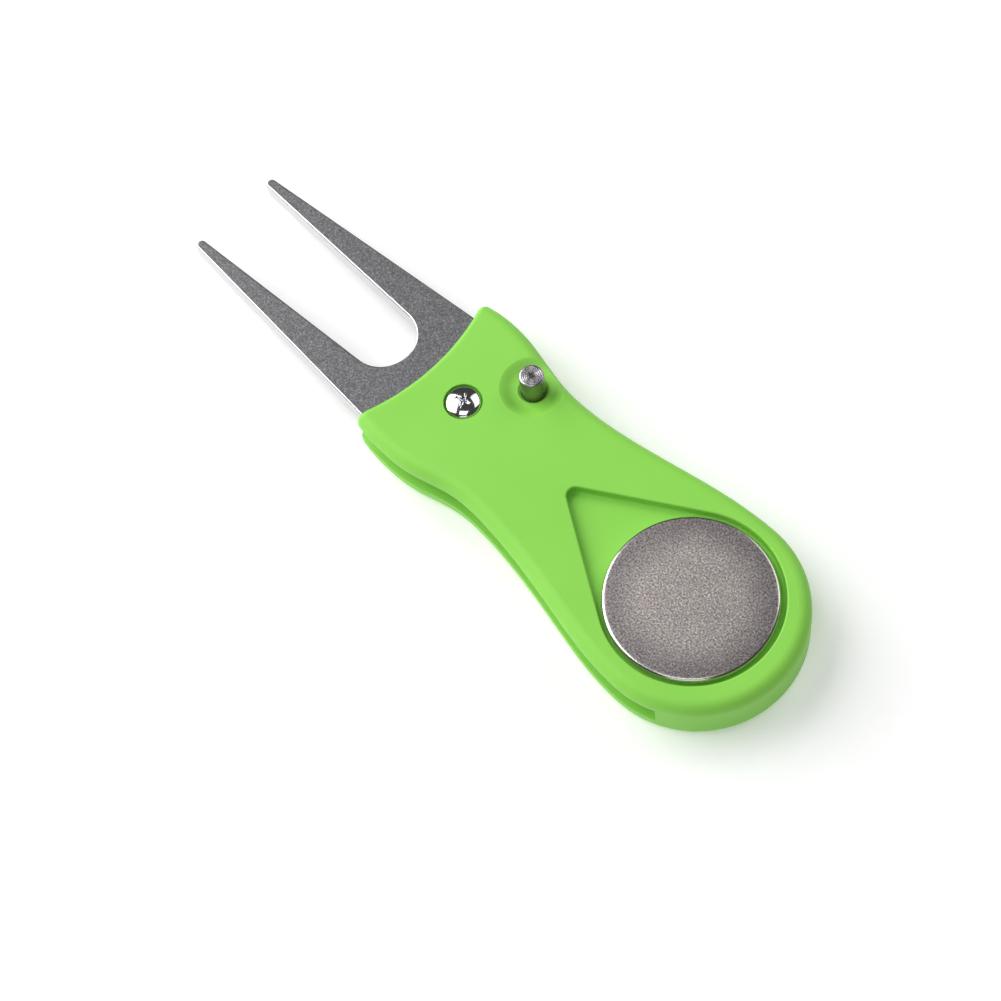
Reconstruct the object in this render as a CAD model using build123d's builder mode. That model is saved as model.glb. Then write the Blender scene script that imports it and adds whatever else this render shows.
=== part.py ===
"""Folding divot repair tool: a two-prong fork that swings out of a two-shell handle.

Frame: millimetres, +X along the tool towards the prongs, +Y towards the side slot
the fork folds into, +Z up through the face that carries the ball marker.
The origin is the middle of the bounding box, on the face the tool lies on.
The fork is drawn open, held by the release button.
"""
import os
from math import asin, atan2, cos, degrees, hypot, radians, sin

from build123d import *

# ---------------------------------------------------------------- driving dimensions
length = 110.0              # tail of the handle to the prong tips, fork open
handle_width = 31.0         # across the round tail
handle_thick = 9.0          # back face to front face

# handle outline: a round tail, a waist and a flared front with a hollow front edge
tail_r = handle_width / 2
tail_x = -length / 2 + tail_r
slot_side = [(-24.9, 13.4), (-9.5, 10.9), (-3.0, 11.0), (4.0, 12.7), (8.5, 13.0), (15.2, 12.2)]
button_side = [(-24.9, -13.8), (-10.0, -11.45), (-3.0, -11.6), (4.5, -13.2), (9.5, -13.8),
               (15.2, -13.1)]
front_slope = 0.3           # how much the sides close in per mm at the front corners
front_mid_x = 12.75         # deepest point of the hollow front edge
mouth_half = 11.6           # half width of the opening that the fork comes out of
front_edge_r = 0.9          # rounding of the hollow front edge and its corners
edge_r = 1.8                # rounding of the rest of the front face's rim
back_edge_r = 2.0           # rounding of the back face's rim
wall = 1.25                 # spine wall beside the fork

# heights
back_top = 3.3              # the shells part here, and the side slot starts
slot_top = 6.7
fork_thick = 3.0
fork_z = (back_top + slot_top - fork_thick) / 2
fork_top = fork_z + fork_thick
back_floor = 1.4            # skin of the back cover
back_wall = 1.9             # its side wall
boss_wall = 1.2             # plastic left round each boss inside the back cover
rib_thick = 1.1
rib_places = (-15.0, -26.0, -37.0)
tail_block_x, tail_block_length = -52.0, 9.0
spine_front = (-12.0, -9.9)  # the solid spine behind the folded fork, front and back end
spine_back = (-50.0, -4.98)

# pivot
pivot_x, pivot_y = 5.3, 0.25
slot_end_r = 52.8           # end wall of the slot, measured from the pivot
sleeve_r = 2.5
sleeve_bore_r = 1.52
running = 0.05              # radial clearance of a turning or sliding fit
screw_r = 1.5
screw_head_r = 2.6
screw_head_z = 8.1          # seat of the screw head
screw_head_rim = 0.5        # straight side of the head, under its dome
screw_head_thick = 1.4
screw_tip_z = 2.6
cross_width = 0.55          # cross recess of the head
cross_length = 2.9
head_clearance = 0.2
nut_head_r = 3.6
nut_head_z = 0.2
nut_seat_z = 1.0
nut_bore_z = 1.6
nut_slot_width = 0.9
nut_slot_depth = 0.45
washer_r = 3.5
washer_thick = 0.15

# fork, in its own plane about the pivot
fork_set = 1.14             # degrees that the open fork stands off the handle's axis
fork_shift = -0.5           # prongs' centre line beside the pivot
tip_x = 49.7
tip_half = 7.9              # half width over both prongs at the tips
taper = 0.080               # how much the half width grows per mm towards the handle
gap_r = 4.9                 # round end of the gap between the prongs
gap_x = 17.4
gap_flare = 0.0463          # how much each side of the gap opens per mm
tip_r = 0.7
tang_r = 7.9
tang_flat = -7.0            # flat on the back of the tang
shoulder_x = 8.0            # back of the fork's wide part on the slot side
stop_shoulder_x = 4.3       # the same on the other side, where it meets the stop pin
shoulder_gap = 0.25         # clearance of the folded fork at the button
fork_edge = 0.35            # rounding of the stamped edges
fold_range = 176.0          # degrees from open to folded

# release button
button_x, button_y = -0.25, -8.15
button_r = 1.8
button_top = 12.3
button_chamfer = 0.3
ring_depth = 0.12           # turned rings in the button's top
dish_z = 8.1                # floor of the dish round the button
dish_r = 4.9
dish_floor_r = 2.4
guide_lead_r = 0.45         # countersink of the guide hole, beyond the button
collar_r = 2.7
collar_top = fork_z - 0.12
collar_thick = 0.75
collar_chamfer = 0.2
lock_gap = 0.15             # clearance of the collar in a lock notch
well_r = 2.95
well_z = 0.8
button_travel = 1.4

# stop pin
stop_r = 1.25
stop_x, stop_y = 2.9, -9.9  # in the fork's plane, from the pivot

# springs
wire_r = 0.25
fork_coil_r = 5.3
fork_coil_pitch = 0.62
fork_coil_turns = 2.5
fork_coil_z = 1.25
pocket_in_r = 4.2
pocket_out_r = 6.3
pocket_z = 0.9
leg_hole_r = 0.4
leg_length = 4.0
leg_top_z = fork_top - 0.6
button_wire_r = 0.2
button_coil_r = 2.5
button_coil_turns = 2.5
button_coil_cone = -35.0    # degrees

# ball marker, its seat and its magnet
marker_x, marker_y = -38.5, -0.15
marker_r = 12.0
marker_top = 9.2
marker_thick = 1.27
recess_r = 12.7
recess_y = -0.3             # middle line of the recess
recess_z = 7.45
recess_rim_r = 0.25
recess_floor_r = 0.35
apex_r = 1.3
apex_x = -16.6
seat_r = 9.0
magnet_r = 5.0
magnet_thick = 0.8
magnet_z = 7.05
marker_rim_r = 0.5
marker_foot_r = 0.25

# case screws
case_screws = [(-50.3, 5.8), (-50.3, -5.8), (-27.0, -10.6)]
case_screw_r = 0.95
case_head_r = 1.8
case_head_z = 0.3
case_seat_z = 1.4
case_screw_top = 7.2
case_head_edge_r = 0.4
case_cross_width = 0.45
case_cross_length = 2.1
case_cross_depth = 0.6

# ---------------------------------------------------------------- derived places
pivot = (pivot_x, pivot_y)
button = (button_x, button_y)
fork_dir = (cos(radians(fork_set)), sin(radians(fork_set)), 0)
button_reach = hypot(button_x - pivot_x, button_y - pivot_y)
open_angle = degrees(atan2(button_y - pivot_y, button_x - pivot_x)) - fork_set
closed_angle = open_angle - fold_range
shoulder_angle = closed_angle - degrees(asin((button_r + shoulder_gap) / button_reach))
marker_z = marker_top - marker_thick


def fork_half(x):
    """Half width over the prongs at distance x from the pivot."""
    return tip_half + taper * (tip_x - x)


def gap_half(x):
    """Half width of the gap between the prongs at distance x from the pivot."""
    return gap_r + gap_flare * (x - gap_x)


def polar(radius, angle):
    """A point of the fork's plane, from the pivot."""
    return (radius * cos(radians(angle)), radius * sin(radians(angle)))


def fork_plane(z):
    """The plane of the open fork at height z, centred on the pivot."""
    return Plane(origin=(pivot_x, pivot_y, z), x_dir=fork_dir, z_dir=(0, 0, 1))


def from_fork(x, y):
    """Where a point of the open fork's plane lies in the handle."""
    c, s = fork_dir[0], fork_dir[1]
    return (pivot_x + x * c - y * s, pivot_y + x * s + y * c)


stop = from_fork(stop_x, stop_y)


# ---------------------------------------------------------------- outline of the handle
def handle_outline(inset=0.0):
    """The handle's outline as a sketch, drawn in by inset all round."""
    tail = (tail_x, tail_r - inset)
    upper = [tail] + [(x, y - inset) for x, y in slot_side]
    lower = [(tail[0], -tail[1])] + [(x, y + inset) for x, y in button_side]
    for side in (upper, lower):
        side[-1] = (side[-1][0] - inset, side[-1][1])
    with BuildSketch() as outline:
        with BuildLine():
            CenterArc((tail_x, 0), tail_r - inset, 90, 180)
            Spline(*upper, tangents=((1, 0), (1, -front_slope)))
            Spline(*lower, tangents=((1, 0), (1, front_slope)))
            ThreePointArc(upper[-1], (front_mid_x - inset, 0), lower[-1])
        make_face()
    return outline.sketch


def on_recess_floor(face):
    """True for the floor of the ball marker's recess."""
    return abs(face.center().Z - recess_z) < 0.01 and face.normal_at().Z > 0.9


# ---------------------------------------------------------------- front cover
# the space the fork swings through: open at the front and along the slot side
with BuildSketch(Plane.XY.offset(back_top)) as swing_space:
    add(handle_outline(wall))
    with Locations((0, handle_width / 2)):
        Rectangle(length * 1.2, handle_width)
    with Locations((front_mid_x + 5, 0)):
        Rectangle(20, 2 * mouth_half)
    with Locations(button):
        Circle(well_r)
    with Locations(pivot):
        Circle(slot_end_r, mode=Mode.INTERSECT)
    with BuildLine():
        Polyline(spine_front, spine_back, (-length, -handle_width), (spine_front[0], -handle_width),
                 close=True)
    make_face(mode=Mode.SUBTRACT)

with BuildPart() as front_cover:
    with BuildSketch(Plane.XY.offset(back_top)):
        add(handle_outline())
    extrude(amount=handle_thick - back_top)
    rim = front_cover.faces().sort_by(Axis.Z)[-1].edges().sort_by(Axis.X)
    fillet(rim[:-1], edge_r)
    nose = front_cover.faces().sort_by(Axis.X)[-1].edges().sort_by(Axis.Z)
    fillet(nose[1:], front_edge_r)
    add(swing_space.sketch)
    extrude(amount=slot_top - back_top, mode=Mode.SUBTRACT)
    # teardrop recess for the ball marker, with a raised seat and a magnet pocket in it
    with BuildSketch(Plane.XY.offset(recess_z)):
        with Locations((marker_x, recess_y)):
            Circle(recess_r)
        with Locations((apex_x, recess_y)):
            Circle(apex_r)
        make_hull()
    extrude(amount=handle_thick, mode=Mode.SUBTRACT)
    recess_rim = front_cover.edges(Select.LAST).group_by(Axis.Z)
    fillet(recess_rim[-1], recess_rim_r)
    recess_corner = front_cover.faces().filter_by(GeomType.PLANE).filter_by(on_recess_floor)
    fillet(recess_corner[0].outer_wire().edges(), recess_floor_r)
    with BuildSketch(Plane.XY.offset(recess_z)):
        with Locations((marker_x, marker_y)):
            Circle(seat_r)
    extrude(amount=marker_z - 0.03 - recess_z)
    with BuildSketch(Plane.XY.offset(magnet_z)):
        with Locations((marker_x, marker_y)):
            Circle(magnet_r + 0.05)
    extrude(amount=handle_thick, mode=Mode.SUBTRACT)
    # pivot screw
    with Locations((pivot_x, pivot_y, handle_thick)):
        CounterBoreHole(screw_r + 0.1, screw_head_r + head_clearance, handle_thick - screw_head_z, depth=3)
    # dish and guide hole of the button
    with BuildSketch(Plane.XZ.offset(-button_y)):
        with BuildLine():
            dish_rim = (button_x + dish_r, handle_thick + 0.02)
            dish_foot = (button_x + dish_floor_r, dish_z)
            Spline(dish_foot, dish_rim, tangents=((1, 0), (1, 0.25)))
            Polyline(dish_rim, (dish_rim[0], handle_thick + 1), (button_x, handle_thick + 1),
                     (button_x, dish_z), dish_foot)
        make_face()
    revolve(axis=Axis((button_x, button_y, 0), (0, 0, 1)), mode=Mode.SUBTRACT)
    with Locations((button_x, button_y, dish_z)):
        CounterSinkHole(button_r + running, button_r + guide_lead_r, depth=3, counter_sink_angle=90)
    # pilot holes of the case screws and the seat of the stop pin
    with Locations(*[(x, y, back_top) for x, y in case_screws]):
        Cylinder(case_screw_r + 0.02, case_screw_top + 0.2 - back_top,
                 align=(Align.CENTER, Align.CENTER, Align.MIN), mode=Mode.SUBTRACT)

# ---------------------------------------------------------------- back cover
# thinned inside, with ribs and round bosses left standing
with BuildSketch(Plane.XY.offset(back_floor)) as hollow:
    add(handle_outline(back_wall))
    with Locations(*[(x, 0) for x in rib_places]):
        Rectangle(rib_thick, handle_width, mode=Mode.SUBTRACT)
    Rectangle(length, rib_thick, mode=Mode.SUBTRACT)
    with Locations(*case_screws):
        Circle(case_head_r + boss_wall, mode=Mode.SUBTRACT)
    with Locations((tail_block_x, 0)):
        Rectangle(tail_block_length, handle_width, mode=Mode.SUBTRACT)
    with Locations(pivot):
        Circle(pocket_out_r + boss_wall, mode=Mode.SUBTRACT)
    with Locations(button):
        Circle(well_r + boss_wall, mode=Mode.SUBTRACT)
    with Locations(stop):
        Circle(stop_r + boss_wall, mode=Mode.SUBTRACT)

with BuildPart() as back_cover:
    with BuildSketch():
        add(handle_outline())
    extrude(amount=back_top)
    back_rim = back_cover.faces().sort_by(Axis.Z)[0].edges().sort_by(Axis.X)
    fillet(back_rim[:-1], back_edge_r)
    back_nose = back_cover.faces().sort_by(Axis.X)[-1].edges().sort_by(Axis.Z)
    fillet(back_nose[:-1], front_edge_r)
    add(hollow.sketch)
    extrude(amount=back_top, mode=Mode.SUBTRACT)
    # ring pocket of the fork spring, with a slot for its fixed leg
    with BuildSketch(Plane.XY.offset(pocket_z)):
        with Locations(pivot):
            Circle(pocket_out_r)
            Circle(pocket_in_r, mode=Mode.SUBTRACT)
        with Locations((pivot_x + fork_coil_r, pivot_y - leg_length / 2)):
            Rectangle(2 * wire_r + 0.3, leg_length + 0.4)
    extrude(amount=back_top, mode=Mode.SUBTRACT)
    # sleeve of the pivot and the seat of its head
    with Locations((pivot_x, pivot_y, 0)):
        Cylinder(sleeve_r + 0.02, back_top, align=(Align.CENTER, Align.CENTER, Align.MIN),
                 mode=Mode.SUBTRACT)
        Cylinder(nut_head_r + 0.15, nut_seat_z, align=(Align.CENTER, Align.CENTER, Align.MIN),
                 mode=Mode.SUBTRACT)
    # well of the button and seat of the stop pin
    with Locations((button_x, button_y, well_z)):
        Cylinder(well_r, back_top, align=(Align.CENTER, Align.CENTER, Align.MIN), mode=Mode.SUBTRACT)
    with Locations((stop[0], stop[1], back_floor)):
        Cylinder(stop_r + 0.01, back_top, align=(Align.CENTER, Align.CENTER, Align.MIN),
                 mode=Mode.SUBTRACT)
    # case screws
    with Locations(*[(x, y, 0) for x, y in case_screws]):
        Cylinder(case_screw_r + 0.1, back_top, align=(Align.CENTER, Align.CENTER, Align.MIN),
                 mode=Mode.SUBTRACT)
        Cylinder(case_head_r + 0.15, case_seat_z, align=(Align.CENTER, Align.CENTER, Align.MIN),
                 mode=Mode.SUBTRACT)

# ---------------------------------------------------------------- fork
with BuildPart() as fork:
    with BuildSketch(fork_plane(fork_z)):
        with BuildLine():
            Polyline(
                (0, 0),
                polar(button_reach, shoulder_angle),
                (shoulder_x, fork_shift + fork_half(shoulder_x) - 1.5),
                (shoulder_x, fork_shift + fork_half(shoulder_x)),
                (tip_x, fork_shift + tip_half),
                (tip_x, fork_shift - tip_half),
                (stop_shoulder_x, fork_shift - fork_half(stop_shoulder_x)),
                (stop_shoulder_x, -5),
                close=True,
            )
        make_face()
        with BuildLine():
            Polyline(
                (gap_x, fork_shift + gap_r),
                (tip_x + 1, fork_shift + gap_half(tip_x + 1)),
                (tip_x + 1, fork_shift - gap_half(tip_x + 1)),
                (gap_x, fork_shift - gap_r),
                close=True,
            )
        make_face(mode=Mode.SUBTRACT)
        with Locations((gap_x, fork_shift)):
            Circle(gap_r, mode=Mode.SUBTRACT)
    extrude(amount=fork_thick)
    # round the prong tips
    tips = fork.edges().filter_by(Axis.Z).filter_by_position(Axis.X, length / 2 - 2.5, length / 2 + 2)
    fillet(tips, tip_r)
    # tang: a disc about the pivot with a flat at the back
    with BuildSketch(fork_plane(fork_z)):
        Circle(tang_r)
        with Locations((tang_flat - 5, 0)):
            Rectangle(10, 20, mode=Mode.SUBTRACT)
    extrude(amount=fork_thick)
    # the button's lock notches, open and folded, the pivot hole and the spring's hole
    with BuildSketch(fork_plane(fork_z)):
        with Locations(polar(button_reach, open_angle), polar(button_reach, closed_angle)):
            Circle(collar_r + lock_gap)
        Circle(sleeve_r + running)
        with Locations((-fork_coil_r, 0)):
            Circle(leg_hole_r)
    extrude(amount=fork_thick, mode=Mode.SUBTRACT)
    # stamped edges broken all round
    fork_faces = fork.faces().sort_by(Axis.Z)
    fillet(fork_faces[0].outer_wire().edges() + fork_faces[-1].outer_wire().edges(), fork_edge)

# ---------------------------------------------------------------- pivot
with BuildPart() as pivot_screw:
    with BuildSketch(Plane.XZ.offset(-pivot_y)):
        with BuildLine():
            Polyline((pivot_x, screw_tip_z), (pivot_x + screw_r - 0.3, screw_tip_z),
                     (pivot_x + screw_r, screw_tip_z + 0.3), (pivot_x + screw_r, screw_head_z),
                     (pivot_x + screw_head_r, screw_head_z),
                     (pivot_x + screw_head_r, screw_head_z + screw_head_rim))
            ThreePointArc((pivot_x + screw_head_r, screw_head_z + screw_head_rim),
                          (pivot_x + screw_head_r * 0.72, screw_head_z + screw_head_thick - 0.42),
                          (pivot_x, screw_head_z + screw_head_thick))
            Line((pivot_x, screw_head_z + screw_head_thick), (pivot_x, screw_tip_z))
        make_face()
    revolve(axis=Axis((pivot_x, pivot_y, 0), (0, 0, 1)))
    # cross recess
    with BuildSketch(Plane(origin=(pivot_x, pivot_y, screw_head_z + screw_head_rim), x_dir=(1, 0.35, 0),
                           z_dir=(0, 0, 1))):
        Rectangle(cross_length, cross_width)
        Rectangle(cross_width, cross_length)
    extrude(amount=3, mode=Mode.SUBTRACT, taper=-6)

with BuildPart() as pivot_nut:
    with Locations((pivot_x, pivot_y, nut_head_z)):
        Cylinder(nut_head_r, nut_seat_z - nut_head_z, align=(Align.CENTER, Align.CENTER, Align.MIN))
    chamfer(pivot_nut.faces().sort_by(Axis.Z)[0].edges(), 0.25)
    with Locations((pivot_x, pivot_y, nut_seat_z)):
        Cylinder(sleeve_r, slot_top - nut_seat_z, align=(Align.CENTER, Align.CENTER, Align.MIN))
    with Locations((pivot_x, pivot_y, slot_top)):
        Hole(sleeve_bore_r, depth=slot_top - nut_bore_z)
    # driver slot in the head
    with BuildSketch(Plane.XY.offset(nut_head_z)):
        with Locations((pivot_x, pivot_y)):
            Rectangle(3 * nut_head_r, nut_slot_width, rotation=30)
    extrude(amount=nut_slot_depth, mode=Mode.SUBTRACT)


def washer(z):
    """A thin shim washer round the pivot sleeve, standing on height z."""
    with BuildPart() as ring:
        with BuildSketch(Plane.XY.offset(z)):
            with Locations(pivot):
                Circle(washer_r)
                Circle(sleeve_r + running, mode=Mode.SUBTRACT)
        extrude(amount=washer_thick)
    return ring


back_washer = washer(back_top)
front_washer = washer(slot_top - washer_thick)

# ---------------------------------------------------------------- fork spring
# a torsion spring: one leg stands up into the tang, the other lies in the back cover
coil_rise = fork_coil_turns * fork_coil_pitch
leg_x, leg_y = from_fork(-fork_coil_r, 0)
with BuildPart() as fork_spring:
    with BuildLine(Plane(origin=(pivot_x, pivot_y, fork_coil_z))):
        Helix(fork_coil_pitch, coil_rise, fork_coil_r)
    with BuildSketch(Plane(origin=(pivot_x + fork_coil_r, pivot_y, fork_coil_z), z_dir=(0, 1, 0))):
        Circle(wire_r)
    sweep()
    with Locations(Plane(origin=(pivot_x + fork_coil_r, pivot_y, fork_coil_z), z_dir=(0, -1, 0))):
        Cylinder(wire_r, leg_length, align=(Align.CENTER, Align.CENTER, Align.MIN))
    with Locations((leg_x, leg_y, fork_coil_z + coil_rise)):
        Sphere(wire_r)
        Cylinder(wire_r, leg_top_z - fork_coil_z - coil_rise,
                 align=(Align.CENTER, Align.CENTER, Align.MIN))

# ---------------------------------------------------------------- release button
with BuildPart() as release_button:
    with BuildSketch(Plane.XZ.offset(-button_y)):
        with BuildLine():
            Polyline((button_x, collar_top - collar_thick),
                     (button_x + collar_r - collar_chamfer, collar_top - collar_thick),
                     (button_x + collar_r, collar_top - collar_thick + collar_chamfer),
                     (button_x + collar_r, collar_top),
                     (button_x + button_r, collar_top),
                     (button_x + button_r, button_top - button_chamfer),
                     (button_x + button_r - button_chamfer, button_top),
                     (button_x, button_top), close=True)
        make_face()
    revolve(axis=Axis((button_x, button_y, 0), (0, 0, 1)))
    # turned rings in the top
    with BuildSketch(Plane.XY.offset(button_top - ring_depth)):
        with Locations(button):
            Circle(1.15)
            Circle(0.95, mode=Mode.SUBTRACT)
            Circle(0.55)
            Circle(0.35, mode=Mode.SUBTRACT)
    extrude(amount=1, mode=Mode.SUBTRACT)

# a conical spring that closes flat under the collar
button_spring_h = collar_top - collar_thick - well_z - 2 * button_wire_r
with BuildPart() as button_spring:
    with BuildLine(Plane(origin=(button_x, button_y, well_z + button_wire_r), z_dir=(0, 0, 1))):
        Helix(button_spring_h / button_coil_turns, button_spring_h, button_coil_r,
              cone_angle=button_coil_cone)
    with BuildSketch(Plane(origin=(button_x + button_coil_r, button_y, well_z + button_wire_r),
                           z_dir=(0, 1, 0))):
        Circle(button_wire_r)
    sweep()

# ---------------------------------------------------------------- stop pin
with BuildPart() as stop_pin:
    with Locations((stop[0], stop[1], back_floor)):
        Cylinder(stop_r, slot_top - back_floor, align=(Align.CENTER, Align.CENTER, Align.MIN))
    chamfer(stop_pin.edges().filter_by(GeomType.CIRCLE), 0.2)

# ---------------------------------------------------------------- ball marker and magnet
with BuildPart() as ball_marker:
    with Locations((marker_x, marker_y, marker_z)):
        Cylinder(marker_r, marker_thick, align=(Align.CENTER, Align.CENTER, Align.MIN))
    fillet(ball_marker.faces().sort_by(Axis.Z)[-1].edges(), marker_rim_r)
    fillet(ball_marker.faces().sort_by(Axis.Z)[0].edges(), marker_foot_r)

with BuildPart() as marker_magnet:
    with Locations((marker_x, marker_y, magnet_z)):
        Cylinder(magnet_r, magnet_thick, align=(Align.CENTER, Align.CENTER, Align.MIN))
    chamfer(marker_magnet.edges().filter_by(GeomType.CIRCLE), 0.15)


# ---------------------------------------------------------------- case screws
def case_screw(x, y):
    """A self-tapping pan-head screw driven in from the back."""
    with BuildPart() as screw:
        with Locations((x, y, case_head_z)):
            Cylinder(case_head_r, case_seat_z - case_head_z,
                     align=(Align.CENTER, Align.CENTER, Align.MIN))
        fillet(screw.faces().sort_by(Axis.Z)[0].edges(), case_head_edge_r)
        with Locations((x, y, case_seat_z)):
            Cylinder(case_screw_r, case_screw_top - case_seat_z,
                     align=(Align.CENTER, Align.CENTER, Align.MIN))
        chamfer(screw.faces().sort_by(Axis.Z)[-1].edges(), 0.4)
        with BuildSketch(Plane.XY.offset(case_head_z)):
            with Locations((x, y)):
                Rectangle(case_cross_length, case_cross_width, rotation=20)
                Rectangle(case_cross_width, case_cross_length, rotation=20)
        extrude(amount=case_cross_depth, mode=Mode.SUBTRACT)
    return screw


# ---------------------------------------------------------------- write the parts
pieces = {
    "front_cover": front_cover,
    "back_cover": back_cover,
    "fork": fork,
    "pivot_screw": pivot_screw,
    "pivot_nut": pivot_nut,
    "front_washer": front_washer,
    "back_washer": back_washer,
    "fork_spring": fork_spring,
    "release_button": release_button,
    "button_spring": button_spring,
    "stop_pin": stop_pin,
    "ball_marker": ball_marker,
    "marker_magnet": marker_magnet,
}
for number, place in enumerate(case_screws, start=1):
    pieces[f"case_screw_{number}"] = case_screw(*place)

os.makedirs("parts", exist_ok=True)
for name, piece in pieces.items():
    piece.part.label = name
    export_step(piece.part, f"parts/{name}.step")
    print(name, round(piece.part.volume, 2), len(piece.part.solids()))
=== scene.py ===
# %% [markdown]
# # A folding divot repair tool
# The tool is a pocket tool for golf greens: a two-prong steel fork that folds into a two-shell
# plastic handle. The handle carries a release button and a round steel ball marker that a magnet
# holds. The design model already has every part at its real size and place. This lesson gives
# the parts their finish, and models again the ones whose surface needs finer work.

# %% Load the design model
import math

import bpy
from mathutils import Matrix, Vector


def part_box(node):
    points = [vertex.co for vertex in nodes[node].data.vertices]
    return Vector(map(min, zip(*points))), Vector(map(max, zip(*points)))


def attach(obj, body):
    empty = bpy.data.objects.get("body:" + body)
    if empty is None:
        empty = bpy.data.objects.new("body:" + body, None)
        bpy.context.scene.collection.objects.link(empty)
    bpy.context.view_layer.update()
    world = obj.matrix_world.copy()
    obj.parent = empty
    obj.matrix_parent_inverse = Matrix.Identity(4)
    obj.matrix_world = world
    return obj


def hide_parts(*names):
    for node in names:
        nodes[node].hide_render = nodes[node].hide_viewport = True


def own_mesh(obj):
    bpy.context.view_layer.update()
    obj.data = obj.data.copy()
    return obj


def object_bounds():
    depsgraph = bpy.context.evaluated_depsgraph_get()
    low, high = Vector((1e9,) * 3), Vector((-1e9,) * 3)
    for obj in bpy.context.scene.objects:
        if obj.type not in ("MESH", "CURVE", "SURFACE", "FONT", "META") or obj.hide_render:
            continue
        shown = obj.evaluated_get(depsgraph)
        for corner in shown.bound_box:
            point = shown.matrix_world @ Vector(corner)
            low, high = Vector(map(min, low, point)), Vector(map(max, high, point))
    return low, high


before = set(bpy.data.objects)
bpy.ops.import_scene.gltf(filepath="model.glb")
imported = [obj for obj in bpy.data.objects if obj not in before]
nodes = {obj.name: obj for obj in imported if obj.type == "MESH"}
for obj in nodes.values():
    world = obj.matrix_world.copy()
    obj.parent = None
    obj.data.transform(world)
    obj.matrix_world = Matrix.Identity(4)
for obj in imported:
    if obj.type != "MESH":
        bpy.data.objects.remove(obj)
cad_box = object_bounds()
MM = 0.001
print("parts:", ", ".join(sorted(nodes)))

# %% Helpers for finishes
def srgb(code):
    """An sRGB hex colour such as "#7ccf3a" as the linear colour that a shader wants."""
    values = [int(code[i:i + 2], 16) / 255 for i in (1, 3, 5)]
    linear = [v / 12.92 if v <= 0.04045 else ((v + 0.055) / 1.055) ** 2.4 for v in values]
    return (*linear, 1.0)


def set_stops(elements, stops):
    """Give a colour ramp its stops, each a position from 0 to 1 and a hex colour."""
    for element, (position, code) in zip(elements, (stops[0], stops[-1])):
        element.position, element.color = position, srgb(code)
    for position, code in stops[1:-1]:
        elements.new(position).color = srgb(code)


def add(tree, kind, settings=None, links=None):
    """Add a node: settings are its properties, socket values or stops, links feed its sockets."""
    node = tree.nodes.new(kind)
    for name, value in (settings or {}).items():
        if name == "stops":
            set_stops(node.color_ramp.elements, value)
        elif isinstance(name, str) and hasattr(node, name):
            setattr(node, name, value)
        else:
            node.inputs[name].default_value = value
    for name, source in (links or {}).items():
        tree.links.new(source, node.inputs[name])
    return node


def per_mm(size):
    """How often a pattern repeats per metre, when one repeat is size millimetres."""
    return 1 / (size * MM)


def start_finish(name):
    """A new material without nodes, and a first one that gives the piece's own coordinates."""
    material = bpy.data.materials.new(name)
    material.use_nodes = True
    tree = material.node_tree
    tree.nodes.clear()
    return material, tree, add(tree, "ShaderNodeTexCoord")


def end_finish(tree, settings, links):
    """The shader that a finish ends in, and the material's output."""
    shader = add(tree, "ShaderNodeBsdfPrincipled", settings, links)
    add(tree, "ShaderNodeOutputMaterial", links={"Surface": shader.outputs["BSDF"]})


print("one unit of the model in mm:", round(1 / MM))

# %% [markdown]
# ## Handle shells: moulded soft-touch ABS
# Both shells are injection moulded in lime green ABS with a satin, slightly rubbery skin. Such a
# skin scatters light, so it shows broad soft highlights and no sharp reflection. Three things
# keep it from looking like flat paint: a spark-eroded mould grain, finger-soft changes of gloss,
# and a very slight clouding of the pigment. All of them are noise at their real size.

# %% Moulded ABS
def moulded_abs():
    """Lime green moulded ABS: satin roughness, 0.2 mm mould grain, faint pigment clouds."""
    material, tree, place = start_finish("moulded_soft_touch_abs")
    at = {"Vector": place.outputs["Object"]}
    clouds = add(tree, "ShaderNodeTexNoise", {"Scale": per_mm(14), "Detail": 2.0}, at)
    gloss = add(tree, "ShaderNodeTexNoise", {"Scale": per_mm(3.5), "Detail": 3.0}, at)
    grain = add(tree, "ShaderNodeTexNoise", {"Scale": per_mm(0.2), "Detail": 1.0}, at)
    colour = add(tree, "ShaderNodeValToRGB", {"stops": [(0.3, "#8cd950"), (0.7, "#92dd56")]},
                 {"Fac": clouds.outputs["Fac"]})
    satin = add(tree, "ShaderNodeMapRange", {"To Min": 0.44, "To Max": 0.6},
                {"Value": gloss.outputs["Fac"]})
    bump = add(tree, "ShaderNodeBump", {"Strength": 0.35, "Distance": 0.006 * MM},
               {"Height": grain.outputs["Fac"]})
    end_finish(tree, {"Metallic": 0.0, "IOR": 1.5, "Specular IOR Level": 0.35},
               {"Base Color": colour.outputs["Color"], "Roughness": satin.outputs["Result"],
                "Normal": bump.outputs["Normal"]})
    return material


green_abs = moulded_abs()
for name in ("front_cover", "back_cover"):
    nodes[name].material_slots[0].material = green_abs
print("shells in", green_abs.name)

# %% [markdown]
# ## Fork: tumbled stainless steel
# The fork is stamped from 3 mm stainless sheet and tumbled with stone. Its flat faces carry the
# stones' grain, and their grey is painted darker than bare steel, a painted reflection of the dim
# room that they mirror. The rounded edges and the stamped sides are rubbed bright. One material
# does both: how far the surface faces up or down tells face from edge, and mixes a grained and a
# bright steel.

# %% Telling faces from edges
def face_mask(tree, place, start, full):
    """A mask: 1 where the surface faces straight up or down, falling to 0 round an edge."""
    way = add(tree, "ShaderNodeSeparateXYZ", links={"Vector": place.outputs["Normal"]})
    upright = add(tree, "ShaderNodeMath", {"operation": "ABSOLUTE"}, {0: way.outputs["Z"]})
    mask = add(tree, "ShaderNodeMapRange",
               {"From Min": start, "From Max": full, "interpolation_type": "SMOOTHSTEP"},
               {"Value": upright.outputs["Value"]})
    return mask.outputs["Result"]


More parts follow.
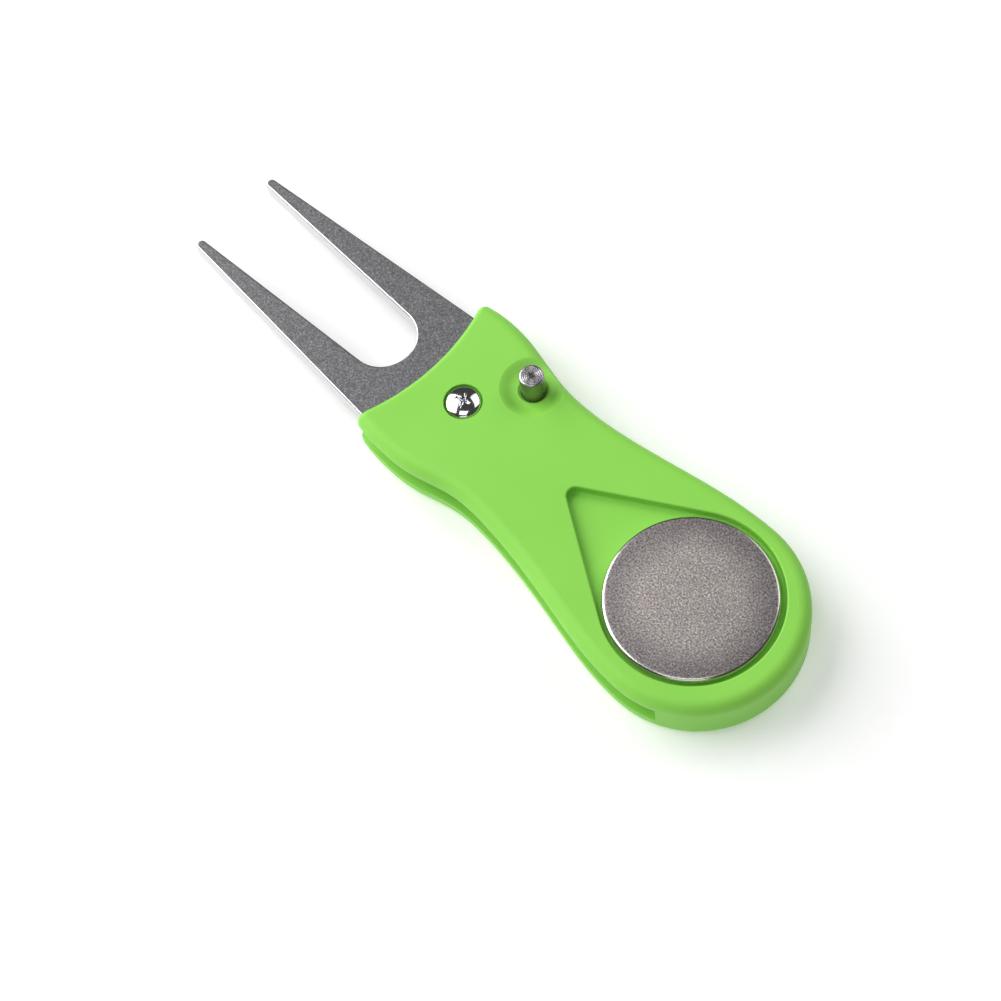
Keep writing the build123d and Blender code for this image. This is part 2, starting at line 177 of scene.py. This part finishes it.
def end_tumbled(tree, face, face_colour, edge_code, grain, gloss, strength, depth):
    """End a tumbled metal: grained faces, smooth bright edges; gloss is (edge, face) roughness."""
    colour = add(tree, "ShaderNodeMix", {"data_type": "RGBA", 6: srgb(edge_code)},
                 {"Factor": face, 7: face_colour.outputs[2]})
    rough = add(tree, "ShaderNodeMapRange", {"To Min": gloss[0], "To Max": gloss[1]},
                {"Value": face})
    height = add(tree, "ShaderNodeMath", {"operation": "MULTIPLY"},
                 {0: grain.outputs["Fac"], 1: face})
    bump = add(tree, "ShaderNodeBump", {"Strength": strength, "Distance": depth * MM},
               {"Height": height.outputs["Value"]})
    end_finish(tree, {"Metallic": 1.0},
               {"Base Color": colour.outputs[2], "Roughness": rough.outputs["Result"],
                "Normal": bump.outputs["Normal"]})


# %% Tumbled stainless steel
def tumbled_stainless():
    """Stainless steel: tumbled faces painted dark as a painted reflection, rubbed bright sides."""
    material, tree, place = start_finish("tumbled_stainless_steel")
    at = {"Vector": place.outputs["Object"]}
    # the grain of the stones, and the few lighter specks that they leave
    grain = add(tree, "ShaderNodeTexNoise",
                {"Scale": per_mm(0.22), "Detail": 3.0, "Roughness": 0.65}, at)
    specks = add(tree, "ShaderNodeTexNoise", {"Scale": per_mm(0.55), "Detail": 2.0}, at)
    # painted dark reflection: these greys are darker than bare steel and stand in for the dim room
    # that the faces mirror; the stones' grain runs through them
    face_greys_painted_dark = add(tree, "ShaderNodeValToRGB",
                {"stops": [(0.32, "#59585b"), (0.52, "#727173"), (0.72, "#9f9ea1")]},
                {"Fac": grain.outputs["Fac"]})
    glints = add(tree, "ShaderNodeValToRGB", {"stops": [(0.66, "#000000"), (0.76, "#5a5a5a")]},
                 {"Fac": specks.outputs["Fac"]})
    steel = add(tree, "ShaderNodeMix", {"data_type": "RGBA", "blend_type": "ADD", "Factor": 1.0},
                {6: face_greys_painted_dark.outputs["Color"], 7: glints.outputs["Color"]})
    end_tumbled(tree, face_mask(tree, place, 0.93, 0.995), steel, "#d2d2d2", grain,
                gloss=(0.24, 0.52), strength=0.5, depth=0.02)
    return material


nodes["fork"].material_slots[0].material = tumbled_stainless()
print("fork in", nodes["fork"].material_slots[0].material.name)

# %% [markdown]
# ## Parts inside the handle
# The washers, magnet and stop pin are hidden, and the nut shows only in the back. They are seen
# when the tool is taken apart. Their shapes in the design model are right, so they only need a
# finish. Each metal is a small change of one recipe: a base colour, a roughness, and fine marks
# along the direction in which the metal was drawn, rolled or turned.

# %% Plain worked metals
def worked_metal(name, dark, light, roughness, mark_size, stretch, depth):
    """A bare or plated metal with working marks of mark_size mm, stretched along an axis."""
    material, tree, place = start_finish(name)
    drawn = add(tree, "ShaderNodeMapping", {"Scale": stretch}, {"Vector": place.outputs["Object"]})
    marks = add(tree, "ShaderNodeTexNoise", {"Scale": per_mm(mark_size), "Detail": 3.0},
                {"Vector": drawn.outputs["Vector"]})
    colour = add(tree, "ShaderNodeValToRGB", {"stops": [(0.35, dark), (0.65, light)]},
                 {"Fac": marks.outputs["Fac"]})
    gloss = add(tree, "ShaderNodeMapRange",
                {"To Min": roughness * 0.75, "To Max": roughness * 1.35},
                {"Value": marks.outputs["Fac"]})
    bump = add(tree, "ShaderNodeBump", {"Strength": 0.4, "Distance": depth * MM},
               {"Height": marks.outputs["Fac"]})
    end_finish(tree, {"Metallic": 1.0},
               {"Base Color": colour.outputs["Color"], "Roughness": gloss.outputs["Result"],
                "Normal": bump.outputs["Normal"]})
    return material


spring_wire = worked_metal("drawn_spring_wire", "#8b8680", "#aaa59d", 0.32, 0.12, (1, 1, 0.3), 0.004)
shim_steel = worked_metal("rolled_shim_steel", "#a5a6a8", "#bfc0c2", 0.3, 0.2, (0.1, 1, 1), 0.003)
nickel_coat = worked_metal("nickel_plated_magnet", "#b9b5ac", "#cbc7bd", 0.22, 0.5, (1, 1, 1), 0.002)
bright_plate = worked_metal("chrome_plated_steel", "#d9d9db", "#ececee", 0.09, 0.4, (1, 1, 1), 0.001)
zinc_plate = worked_metal("zinc_plated_steel", "#b4b7bd", "#cdd0d4", 0.25, 0.25, (1, 1, 1), 0.003)
for name, finish in {
    "front_washer": shim_steel, "back_washer": shim_steel,
    "marker_magnet": nickel_coat, "stop_pin": bright_plate, "pivot_nut": bright_plate,
}.items():
    nodes[name].material_slots[0].material = finish
    print(name, "in", finish.name)

# %% [markdown]
# ## Modelling by selection
# The round metal parts that show are modelled again, because their edges and faces carry the
# sharpest reflections on the tool. Each one starts as a cylinder at its real size. Faces are then
# selected by a test on their place, and operators work on the selection, as by hand. Rings turned
# or pressed into a flat end are insets, each a step inwards and a step up or down.

# %% Measuring a part
def centre_of(node):
    """The middle of a part's box, and its lowest and highest height."""
    low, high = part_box(node)
    return (low + high) / 2, low.z, high.z


def radius_of(node):
    """Half the width of a round part's box."""
    low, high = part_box(node)
    return (high.x - low.x) / 2


def reach(point, centre):
    """How far a mesh point lies from the upright axis through centre."""
    return math.hypot(point.co.x - centre.x, point.co.y - centre.y)


for name in ("ball_marker", "pivot_screw", "case_screw_1"):
    print(name, "radius mm:", round(radius_of(name) / MM, 2))

# %% Modelling by selection
SIDES = 128                 # sides of a round part
SAME_HEIGHT = 1e-7          # metres; heights closer than this are one height


def start_round(name, centre, radius, low, high):
    """A closed cylinder between two heights, placed in its own mesh."""
    bpy.ops.object.select_all(action="DESELECT")
    bpy.ops.mesh.primitive_cylinder_add(vertices=SIDES, radius=radius, depth=high - low,
                                        location=(centre.x, centre.y, (low + high) / 2))
    piece = bpy.context.active_object
    piece.name = piece.data.name = name
    bpy.ops.object.transform_apply(location=True, rotation=True, scale=True)
    return piece


def pick_faces(piece, test):
    """Go to edit mode with only the faces selected whose centre and normal pass the test."""
    bpy.ops.object.mode_set(mode="EDIT")
    bpy.ops.mesh.select_mode(type="FACE")
    bpy.ops.mesh.select_all(action="DESELECT")
    bpy.ops.object.mode_set(mode="OBJECT")
    for face in piece.data.polygons:
        face.select = test(face.center, face.normal)
    bpy.ops.object.mode_set(mode="EDIT")


def pick_end(piece, up=True):
    """Select the top or the bottom face of a round piece."""
    ends = [face.center.z for face in piece.data.polygons if len(face.vertices) > 4]
    height = max(ends) if up else min(ends)
    pick_faces(piece, lambda place, way: abs(place.z - height) < SAME_HEIGHT and abs(way.z) > 0.99)


def step_in(steps):
    """Inset the selected end again and again; a step is (inwards, outwards along the axis) in mm."""
    for inwards, rise in steps:
        bpy.ops.mesh.inset(thickness=inwards * MM, depth=rise * MM)


def dome(radius, height, flat, count):
    """Steps of a domed end: an ellipse from its rim at radius down to a flat of radius flat."""
    steps = []
    last_r, last_h = radius, 0.0
    for i in range(1, count + 1):
        angle = math.pi / 2 * i / count
        r = flat + (radius - flat) * math.cos(angle)
        h = height * math.sin(angle)
        steps.append((last_r - r, h - last_h))
        last_r, last_h = r, h
    return steps


def close_piece(piece, finish, body, node, crease=35):
    """Point the faces outwards, smooth the shading, and hang the piece in its node's place."""
    bpy.ops.object.mode_set(mode="EDIT")
    bpy.ops.mesh.select_all(action="SELECT")
    bpy.ops.mesh.normals_make_consistent(inside=False)
    bpy.ops.object.mode_set(mode="OBJECT")
    bpy.ops.object.shade_smooth_by_angle(angle=math.radians(crease))
    piece.data.materials.append(finish)
    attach(piece, body)
    if node:
        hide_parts(node)
    low, high = Vector(piece.bound_box[0]), Vector(piece.bound_box[6])
    print(piece.name, "mm:", [round(v / MM, 2) for v in (high - low)], len(piece.data.polygons))


# %% [markdown]
# ## Ball marker
# A ball marker is a coin punched from steel, tumbled until its rim is round, and plated with
# nickel. Its face is very slightly crowned. The rim is made of insets that follow an ellipse, so
# the face runs into the side without a corner, and five wide insets then raise the crown.

# %% Model the marker
MARKER_RIM_R, MARKER_RIM_H = 0.6, 0.42      # mm, width and height of the rounded rim
MARKER_FOOT_R = 0.25
CROWN = 0.05                                # mm that the middle stands above the rim
# the crown's insets, each a share of the face's radius and a share of the rise
CROWN_STEPS = ((0.1, 0.34), (0.15, 0.32), (0.2, 0.22), (0.25, 0.1), (0.2, 0.02))

centre, low, high = centre_of("ball_marker")
marker_r = radius_of("ball_marker")
marker = start_round("ball_marker_coin", centre, marker_r, low + MARKER_FOOT_R * MM,
                     high - (MARKER_RIM_H + CROWN) * MM)
pick_end(marker)
inner_r = marker_r / MM - MARKER_RIM_R
step_in(dome(marker_r / MM, MARKER_RIM_H, inner_r, 10))
step_in([(inner_r * share, CROWN * lift) for share, lift in CROWN_STEPS])
pick_end(marker, up=False)
step_in(dome(marker_r / MM, MARKER_FOOT_R, marker_r / MM - MARKER_FOOT_R, 5))
print("flat face radius mm:", round(inner_r, 2))

# %% [markdown]
# ## Marker finish: tumbled nickel
# Tumbling leaves a fine, even sparkle of tiny pits all over the face, and the plating on it is a
# warm, faintly pink grey, with blotches of wear. The face is also painted darker towards the rim,
# which leaves a painted highlight in its middle. The rounded rim itself has no pits and stays
# bright. The way the surface faces tells face from rim, and the distance to the centre sets the
# painted shade.

# %% Tumbled nickel
def painted_rim_shade(tree, place, centre, radius):
    """A value that grows from 0 at about half the radius round centre to 1 at the rim, for painted
    shade.
    """
    centred = add(tree, "ShaderNodeMapping", {"Location": -Vector((centre.x, centre.y, 0))},
                  {"Vector": place.outputs["Object"]})
    flat = add(tree, "ShaderNodeVectorMath", {"operation": "MULTIPLY", 1: (1, 1, 0)},
               {0: centred.outputs["Vector"]})
    distance = add(tree, "ShaderNodeVectorMath", {"operation": "LENGTH"},
                   {0: flat.outputs["Vector"]})
    fade = add(tree, "ShaderNodeMapRange", {"From Min": radius * 0.55, "From Max": radius * 0.99},
               {"Value": distance.outputs["Value"]})
    return fade.outputs["Result"]


def tumbled_nickel(centre, radius):
    """Nickel over tumbled steel: a speckled warm grey face, painted darker near a bright smooth rim.
    """
    material, tree, place = start_finish("tumbled_nickel_plate")
    at = {"Vector": place.outputs["Object"]}
    pits = add(tree, "ShaderNodeTexNoise",
               {"Scale": per_mm(0.27), "Detail": 3.0, "Roughness": 0.75}, at)
    blotches = add(tree, "ShaderNodeTexNoise", {"Scale": per_mm(2.5), "Detail": 3.0}, at)
    nickel = add(tree, "ShaderNodeValToRGB",
                 {"stops": [(0.34, "#7f7876"), (0.5, "#beb5b1"), (0.66, "#fff8f4")]},
                 {"Fac": pits.outputs["Fac"]})
    # blotches of wear plus painted shade towards the rim, which leaves a painted highlight in the
    # middle
    wear_and_painted_shade = add(tree, "ShaderNodeMath", {"operation": "MULTIPLY_ADD", 1: 0.5},
               {0: blotches.outputs["Fac"], 2: painted_rim_shade(tree, place, centre, radius)})
    # darker where the blotches of wear lie and, as painted shade, towards the rim
    shade = add(tree, "ShaderNodeValToRGB", {"stops": [(0.15, "#ffffff"), (1.0, "#c4c4c8")]},
                {"Fac": wear_and_painted_shade.outputs["Value"]})
    worn_and_painted_nickel = add(tree, "ShaderNodeMix",
               {"data_type": "RGBA", "blend_type": "MULTIPLY", "Factor": 1.0},
               {6: nickel.outputs["Color"], 7: shade.outputs["Color"]})
    end_tumbled(tree, face_mask(tree, place, 0.9, 0.99), worn_and_painted_nickel, "#e4e0da", pits,
                gloss=(0.15, 0.4), strength=0.6, depth=0.012)
    return material


close_piece(marker, tumbled_nickel(centre, marker_r), "marker", "ball_marker")

# %% [markdown]
# ## Release button
# The button is a pin turned from bar. Its end was faced on the lathe, and the tool left rings in
# it, with a bright bevel round them. Inside the handle it ends in a collar, which on the real tool
# locks the fork. The collar is the starting cylinder, the pin is its top extruded up, and a ring
# is four insets: level, down, level and up again.

# %% Model the button
BUTTON_BEVEL = 0.28         # mm
RING_COUNT, RING_DEPTH = 5, 0.06
COLLAR_BEVEL = 0.15

centre, low, high = centre_of("release_button")
collar_r = radius_of("release_button")
points = nodes["release_button"].data.vertices
# the collar ends at the highest point on its edge, and the pin's foot is the nearest point there
collar_top = max(v.co.z for v in points if abs(reach(v, centre) - collar_r) < 0.05 * MM)
pin_r = min(reach(v, centre) for v in points if abs(v.co.z - collar_top) < 0.01 * MM)
button = start_round("turned_button_pin", centre, collar_r, low + COLLAR_BEVEL * MM, collar_top)
pick_end(button, up=False)
step_in([(COLLAR_BEVEL, COLLAR_BEVEL)])
pick_end(button)
step_in([((collar_r - pin_r) / MM, 0)])
pin_height = high - BUTTON_BEVEL * MM - collar_top
bpy.ops.mesh.extrude_region_move(TRANSFORM_OT_translate={"value": (0, 0, pin_height)})
step_in(dome(pin_r / MM, BUTTON_BEVEL, pin_r / MM - BUTTON_BEVEL, 5))
ring_width = (pin_r / MM - BUTTON_BEVEL) / (RING_COUNT + 0.5) / 4
ring_steps = [(ring_width, 0), (ring_width, -RING_DEPTH), (ring_width, 0), (ring_width, RING_DEPTH)]
step_in(ring_steps * RING_COUNT)
print("pin radius mm:", round(pin_r / MM, 3), "ring width mm:", round(ring_width, 3))

# %% [markdown]
# ## Button finish: turned steel
# A lathe leaves marks in circles round the axis, on the end and on the side alike. The rings on
# the end are modelled. This finish adds what they lack: a broad ring of shade centred on the pin,
# and a fine unevenness of gloss.

# %% Turned steel
WAVE_UNIT = 20              # a wave texture of scale 1 draws WAVE_UNIT / tau rings per metre


def turned_steel(centre):
    """Turned steel with rings of shade round its own axis, one every tau * 0.35 = 2.2 mm."""
    material, tree, place = start_finish("turned_bright_steel")
    centred = add(tree, "ShaderNodeMapping", {"Location": -Vector((centre.x, centre.y, 0))},
                  {"Vector": place.outputs["Object"]})
    at = {"Vector": centred.outputs["Vector"]}
    rings = add(tree, "ShaderNodeTexWave",
                {"wave_type": "RINGS", "rings_direction": "Z",
                 "Scale": per_mm(0.35) / WAVE_UNIT, "Distortion": 0.6, "Detail": 2.0}, at)
    marks = add(tree, "ShaderNodeTexNoise", {"Scale": per_mm(0.4), "Detail": 3.0}, at)
    colour = add(tree, "ShaderNodeValToRGB", {"stops": [(0.2, "#757173"), (0.8, "#cbc9cb")]},
                 {"Fac": rings.outputs["Fac"]})
    gloss = add(tree, "ShaderNodeMapRange", {"To Min": 0.18, "To Max": 0.34},
                {"Value": marks.outputs["Fac"]})
    bump = add(tree, "ShaderNodeBump", {"Strength": 0.3, "Distance": 0.01 * MM},
               {"Height": rings.outputs["Fac"]})
    end_finish(tree, {"Metallic": 1.0},
               {"Base Color": colour.outputs["Color"], "Roughness": gloss.outputs["Result"],
                "Normal": bump.outputs["Normal"]})
    return material


close_piece(button, turned_steel(centre), "button", "release_button", crease=25)

# %% [markdown]
# ## Screws
# The pivot screw and the three case screws are alike: a domed head with a cross recess, above a
# plain shank. One function makes them all. The dome is a run of insets, the shank is the underside
# inset and extruded down, and the recess is cut by a tapered wing, once along and once across. A
# small bevel then breaks the cut edges, because a plated edge is never sharp and its glint shows.

# %% A screw with a cross recess
TIP_BEVEL = 0.3             # mm
RECESS_TAPER = 0.45         # width of the recess at its seat, as a share of its mouth
CUTTER_ABOVE = 0.5          # mm that the cutter stands above the head
CROWN_FLAT = 0.08           # share of the head's radius that the last inset of the dome leaves flat
GLINT_BEVEL = 0.05          # mm, on the cut edges


def wing(centre, seat, top, length, width, turn):
    """A tapered wing that cuts one slot of a cross recess, narrower at its seat."""
    bpy.ops.object.select_all(action="DESELECT")
    bpy.ops.mesh.primitive_cube_add(size=1, location=(centre.x, centre.y, (seat + top) / 2),
                                    rotation=(0, 0, turn), scale=(length, width, abs(top - seat)))
    cutter = bpy.context.active_object
    bpy.ops.object.transform_apply(location=True, rotation=True, scale=True)
    pick_faces(cutter, lambda place, way: abs(place.z - seat) < SAME_HEIGHT)
    bpy.ops.transform.resize(value=(RECESS_TAPER, RECESS_TAPER, 1),
                             center_override=(centre.x, centre.y, seat))
    bpy.ops.object.mode_set(mode="OBJECT")
    return cutter


def cross_screw(name, centre, head_r, seat, rim, dome_h, shank_r, tip, recess, turn):
    """A screw whose head stands on height seat; it faces up when its tip is lower, else down."""
    out = 1 if tip < seat else -1
    low, high = sorted((seat, seat + out * rim))
    piece = start_round(name, centre, head_r, low, high)
    pick_end(piece, up=out > 0)
    step_in(dome(head_r / MM, dome_h / MM, head_r / MM * CROWN_FLAT, 12))
    pick_end(piece, up=out < 0)
    step_in([((head_r - shank_r) / MM, 0)])
    shank = tip - seat + out * TIP_BEVEL * MM
    bpy.ops.mesh.extrude_region_move(TRANSFORM_OT_translate={"value": (0, 0, shank)})
    step_in([(TIP_BEVEL, TIP_BEVEL)])
    bpy.ops.object.mode_set(mode="OBJECT")
    length, width, depth = recess
    crown = seat + out * (rim + dome_h)
    for angle in (turn, turn + math.pi / 2):
        cutter = wing(centre, crown - out * depth, crown + out * CUTTER_ABOVE * MM,
                      length, width, angle)
        cut = piece.modifiers.new("recess", "BOOLEAN")
        cut.operation, cut.object, cut.solver = "DIFFERENCE", cutter, "EXACT"
        bpy.context.view_layer.objects.active = piece
        bpy.ops.object.modifier_apply(modifier=cut.name)
        bpy.data.objects.remove(cutter)
    bpy.ops.object.select_all(action="DESELECT")
    piece.select_set(True)
    bpy.context.view_layer.objects.active = piece
    glint = piece.modifiers.new("glint", "BEVEL")
    glint.width, glint.segments, glint.angle_limit = GLINT_BEVEL * MM, 2, math.radians(32)
    bpy.ops.object.modifier_apply(modifier=glint.name)
    return piece


# %% Pivot screw
PIVOT_RIM, PIVOT_SHANK_R = 0.5 * MM, 1.5 * MM
PIVOT_RECESS = (3.0 * MM, 0.62 * MM, 0.95 * MM)     # length, width and depth of the cross
ON_EDGE = 0.98              # share of the head's radius past which a point is on its edge

centre, low, high = centre_of("pivot_screw")
head_r = radius_of("pivot_screw")
pivot_seat = min(v.co.z for v in nodes["pivot_screw"].data.vertices
                 if reach(v, centre) > head_r * ON_EDGE)
pivot_screw = cross_screw("chrome_pivot_screw", centre, head_r, pivot_seat, PIVOT_RIM,
                          high - pivot_seat - PIVOT_RIM, PIVOT_SHANK_R, low, PIVOT_RECESS,
                          math.radians(19))
close_piece(pivot_screw, bright_plate, "handle", "pivot_screw")

# %% Case screws in the back
CASE_RIM, CASE_SHANK_R = 0.6 * MM, 0.95 * MM
CASE_RECESS = (2.3 * MM, 0.5 * MM, 0.65 * MM)

for number in (1, 2, 3):
    node = f"case_screw_{number}"
    centre, low, high = centre_of(node)
    head_r = radius_of(node)
    seat = max(v.co.z for v in nodes[node].data.vertices if reach(v, centre) > head_r * ON_EDGE)
    # each screw is left at a different turn, as a hand would leave it
    case_screw = cross_screw(f"zinc_{node}", centre, head_r, seat, CASE_RIM,
                             seat - low - CASE_RIM, CASE_SHANK_R, high, CASE_RECESS,
                             math.radians(20 + 31 * number))
    close_piece(case_screw, zinc_plate, "handle", node)

# %% [markdown]
# ## Springs
# Two springs sit inside the handle. The one under the button is a cone of wire whose turns nest,
# so it can close nearly flat. The real one round the pivot winds up as the fork folds. Here its
# upright leg is a piece of its own that turns with the fork along the coil's circle, while the coil
# and the other leg stay still in the handle.

# %% Coil springs
TURN_POINTS = 40            # points per turn of a coil


def helix(centre, start_z, end_z, start_r, end_r, turns):
    """Points along a coil that climbs and may change its radius evenly."""
    count = round(TURN_POINTS * turns)
    points = []
    for i in range(count + 1):
        share = i / count
        angle = 2 * math.pi * turns * share
        radius = start_r + (end_r - start_r) * share
        points.append((centre.x + radius * math.cos(angle), centre.y + radius * math.sin(angle),
                       start_z + (end_z - start_z) * share))
    return points


def wire_along(name, points, radius):
    """A round wire along a list of points, as a closed mesh."""
    curve = bpy.data.curves.new(name, "CURVE")
    curve.dimensions, curve.bevel_depth, curve.bevel_resolution = "3D", radius, 3
    curve.use_fill_caps = True
    line = curve.splines.new("POLY")
    line.points.add(len(points) - 1)
    for point, place in zip(line.points, points):
        point.co = (*place, 1)
    wire = bpy.data.objects.new(name, curve)
    bpy.context.collection.objects.link(wire)
    bpy.ops.object.select_all(action="DESELECT")
    wire.select_set(True)
    bpy.context.view_layer.objects.active = wire
    bpy.ops.object.convert(target="MESH")
    return bpy.context.active_object


# %% Button spring
thin = 0.2 * MM             # radius of the wire
foot_r, top_r, cone_turns = 2.5 * MM, 1.5 * MM, 2.5

centre = centre_of("release_button")[0]
low, high = (corner.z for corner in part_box("button_spring"))
cone = wire_along("button_cone_spring",
                  helix(centre, low + thin, high - thin, foot_r, top_r, cone_turns), thin)
close_piece(cone, spring_wire, "handle", "button_spring")
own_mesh(cone)

# %% Fork spring and its leg
wire, coil_r, pitch, turns = 0.25 * MM, 5.3 * MM, 0.62 * MM, 2.5    # wire is its radius
leg_length = 4.0 * MM

centre = centre_of("pivot_nut")[0]
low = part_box("fork_spring")[0].z + wire
coil = helix(centre, low, low + pitch * turns, coil_r, coil_r, turns)
fixed_leg = (coil[0][0], coil[0][1] - leg_length, low)
spring = wire_along("fork_spring_coil", [fixed_leg] + coil, wire)
close_piece(spring, spring_wire, "handle", "fork_spring")

# the upright leg starts just above the coil's last turn, so the two never touch
leg_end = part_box("fork_spring")[1].z
leg = start_round("fork_spring_leg", Vector(coil[-1]), wire, coil[-1][2] + 1.1 * wire,
                  leg_end - wire / 2)
pick_end(leg)
step_in(dome(wire / MM, wire / MM / 2, wire / MM * 0.3, 4))
close_piece(leg, spring_wire, "fork", None)

# %% [markdown]
# ## Table
# The tool lies on a plain white sheet. A sheet that only reflects looks grey next to a bright
# plastic, so this one also glows a little, as opal acrylic with a lamp under it does.

# %% Floor
bpy.ops.object.select_all(action="DESELECT")
bpy.ops.mesh.primitive_plane_add(size=6, location=(0, 0, cad_box[0][2]))
table = bpy.context.active_object
table.name = "light_table"
table_top, tree, place = start_finish("opal_acrylic_sheet")
haze = add(tree, "ShaderNodeTexNoise", {"Scale": per_mm(2.0), "Detail": 2.0},
           {"Vector": place.outputs["Object"]})
white = add(tree, "ShaderNodeValToRGB", {"stops": [(0.3, "#f0f0f0"), (0.7, "#f3f3f3")]},
            {"Fac": haze.outputs["Fac"]})
end_finish(tree, {"Metallic": 0.0, "Roughness": 0.85, "Specular IOR Level": 0.1,
                  "Emission Color": srgb("#ffffff"), "Emission Strength": 0.25},
           {"Base Color": white.outputs["Color"]})
table.data.materials.append(table_top)
print("floor at mm:", round(cad_box[0][2] / MM, 2))

# %% [markdown]
# ## Camera
# The camera looks down on the tool from beside its tail, turned a little, as someone would who
# picks a small thing up to see. A long lens keeps the near tail from looking larger than it is.

# %% Camera
CAMERA_AT = (-124.07, 83.43, 290.62)        # mm
HEADING, TILT, ROLL = (math.radians(v) for v in (-33.604, -63.990, -11.796))
FILM_WIDTH, LENS = 36.0, 82.016             # mm

look = Vector((math.cos(TILT) * math.cos(HEADING), math.cos(TILT) * math.sin(HEADING),
               math.sin(TILT)))
bpy.ops.object.camera_add(location=Vector(CAMERA_AT) * MM)
camera = bpy.context.active_object
camera.rotation_mode = "QUATERNION"
upright = look.to_track_quat("-Z", "Y")
camera.rotation_quaternion = upright @ Matrix.Rotation(ROLL, 3, "Z").to_quaternion()
camera.data.sensor_width, camera.data.lens = FILM_WIDTH, LENS
camera.data.clip_start = 1 * MM
bpy.context.scene.camera = camera
print("camera at mm:", [round(v / MM, 1) for v in camera.location])

# %% [markdown]
# ## Light
# A very large soft window stands beyond the prongs and gives nearly all the light. A weaker one on
# the side with the button, a small card high up and a faint one past the tail give the metal more
# to mirror. Between them it mirrors a dim room, and that sets the bright parts off.

# %% Light
def window(name, place, size, power):
    """A square soft light, size in metres and power in watts, that faces the tool's middle."""
    bpy.ops.object.light_add(type="AREA", location=place)
    light = bpy.context.active_object
    light.name = name
    light.data.size, light.data.energy = size, power
    light.rotation_mode = "QUATERNION"
    light.rotation_quaternion = (-Vector(place)).to_track_quat("-Z", "Y")
    print(name, "size m:", size, "power W:", power)


def from_tool(turn, height, distance):
    """A place at a heading and a height angle, both in degrees, and a distance from the tool."""
    turn, height = math.radians(turn), math.radians(height)
    return (distance * math.cos(height) * math.cos(turn),
            distance * math.cos(height) * math.sin(turn), distance * math.sin(height))


AWAY = 0.8                  # metres from the tool to every light
window("main_window", from_tool(22, 40, AWAY), 0.9, 8.8)
window("ceiling_card", from_tool(125, 72, AWAY), 0.35, 0.9)
window("right_window", from_tool(-95, 40, AWAY), 0.6, 1.6)
window("tail_card", from_tool(132, 32, AWAY), 0.45, 0.5)

# %% The dim room
world = bpy.data.worlds.new("studio")
world.use_nodes = True
room = world.node_tree.nodes["Background"].inputs
room["Color"].default_value, room["Strength"].default_value = srgb("#ffffff"), 0.06
bpy.context.scene.world = world
bpy.context.scene.view_settings.view_transform = "Standard"
print("room strength:", round(room["Strength"].default_value, 3))
